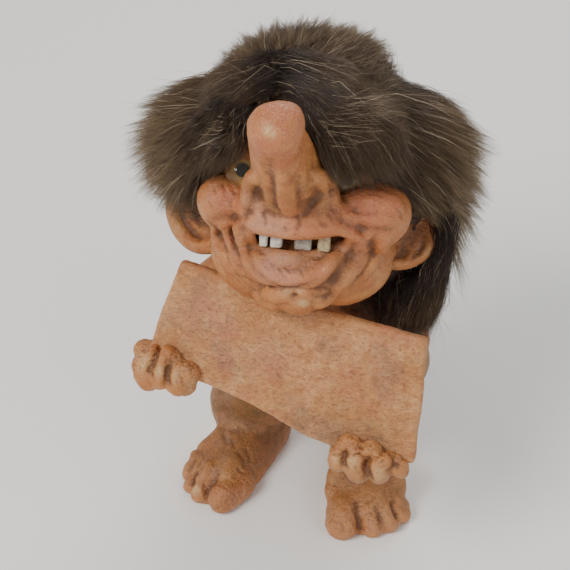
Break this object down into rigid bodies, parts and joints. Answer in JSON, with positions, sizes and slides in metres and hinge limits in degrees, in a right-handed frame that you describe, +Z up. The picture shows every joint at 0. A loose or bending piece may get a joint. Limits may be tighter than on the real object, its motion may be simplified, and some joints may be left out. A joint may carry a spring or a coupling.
{
  "type": "norwegian troll figure",
  "caption": "Standing folk troll ornament with a long nose, fur wig, bare feet and a blank sign held in both hands.",
  "frame": {"origin": "on the ground under the middle of the figure's box", "axes": "+Z up, the troll faces -Y, its right hand is on the -X side"},
  "size_m": [0.1148, 0.1103, 0.1822],
  "materials": {
    "latex_skin": "hand-painted latex, satin, dark wash in the folds",
    "eye_glass": "polished clear glass",
    "eye_paint": "amber iris with a black pupil",
    "wire": "plain wire",
    "teeth": "painted, satin",
    "fur_skin": "matte",
    "fur": "long brown fur with golden tips",
    "sign_paint": "hand-painted, matte, mottled"
  },
  "bodies": {
    "root": {"arm_left": "latex_skin", "arm_right": "latex_skin", "ear_left": "latex_skin", "ear_right": "latex_skin", "eye_disc_left": "eye_paint", "eye_disc_right": "eye_paint", "eye_dome_left": "eye_glass", "eye_dome_right": "eye_glass", "eye_stem_left": "wire", "eye_stem_right": "wire", "foot_left": "latex_skin", "foot_right": "latex_skin", "hand_left": "latex_skin", "hand_right": "latex_skin", "head_casting": "latex_skin", "leg_left": "latex_skin", "leg_right": "latex_skin", "sign_board": "sign_paint", "tail": "latex_skin", "tail_tuft": "fur", "tooth_inner_left": "teeth", "tooth_inner_right": "teeth", "tooth_outer_left": "teeth", "tooth_outer_right": "teeth", "torso_casting": "latex_skin", "wig_backing": "fur_skin", "wig_hair": "fur"}
  },
  "joints": []
}
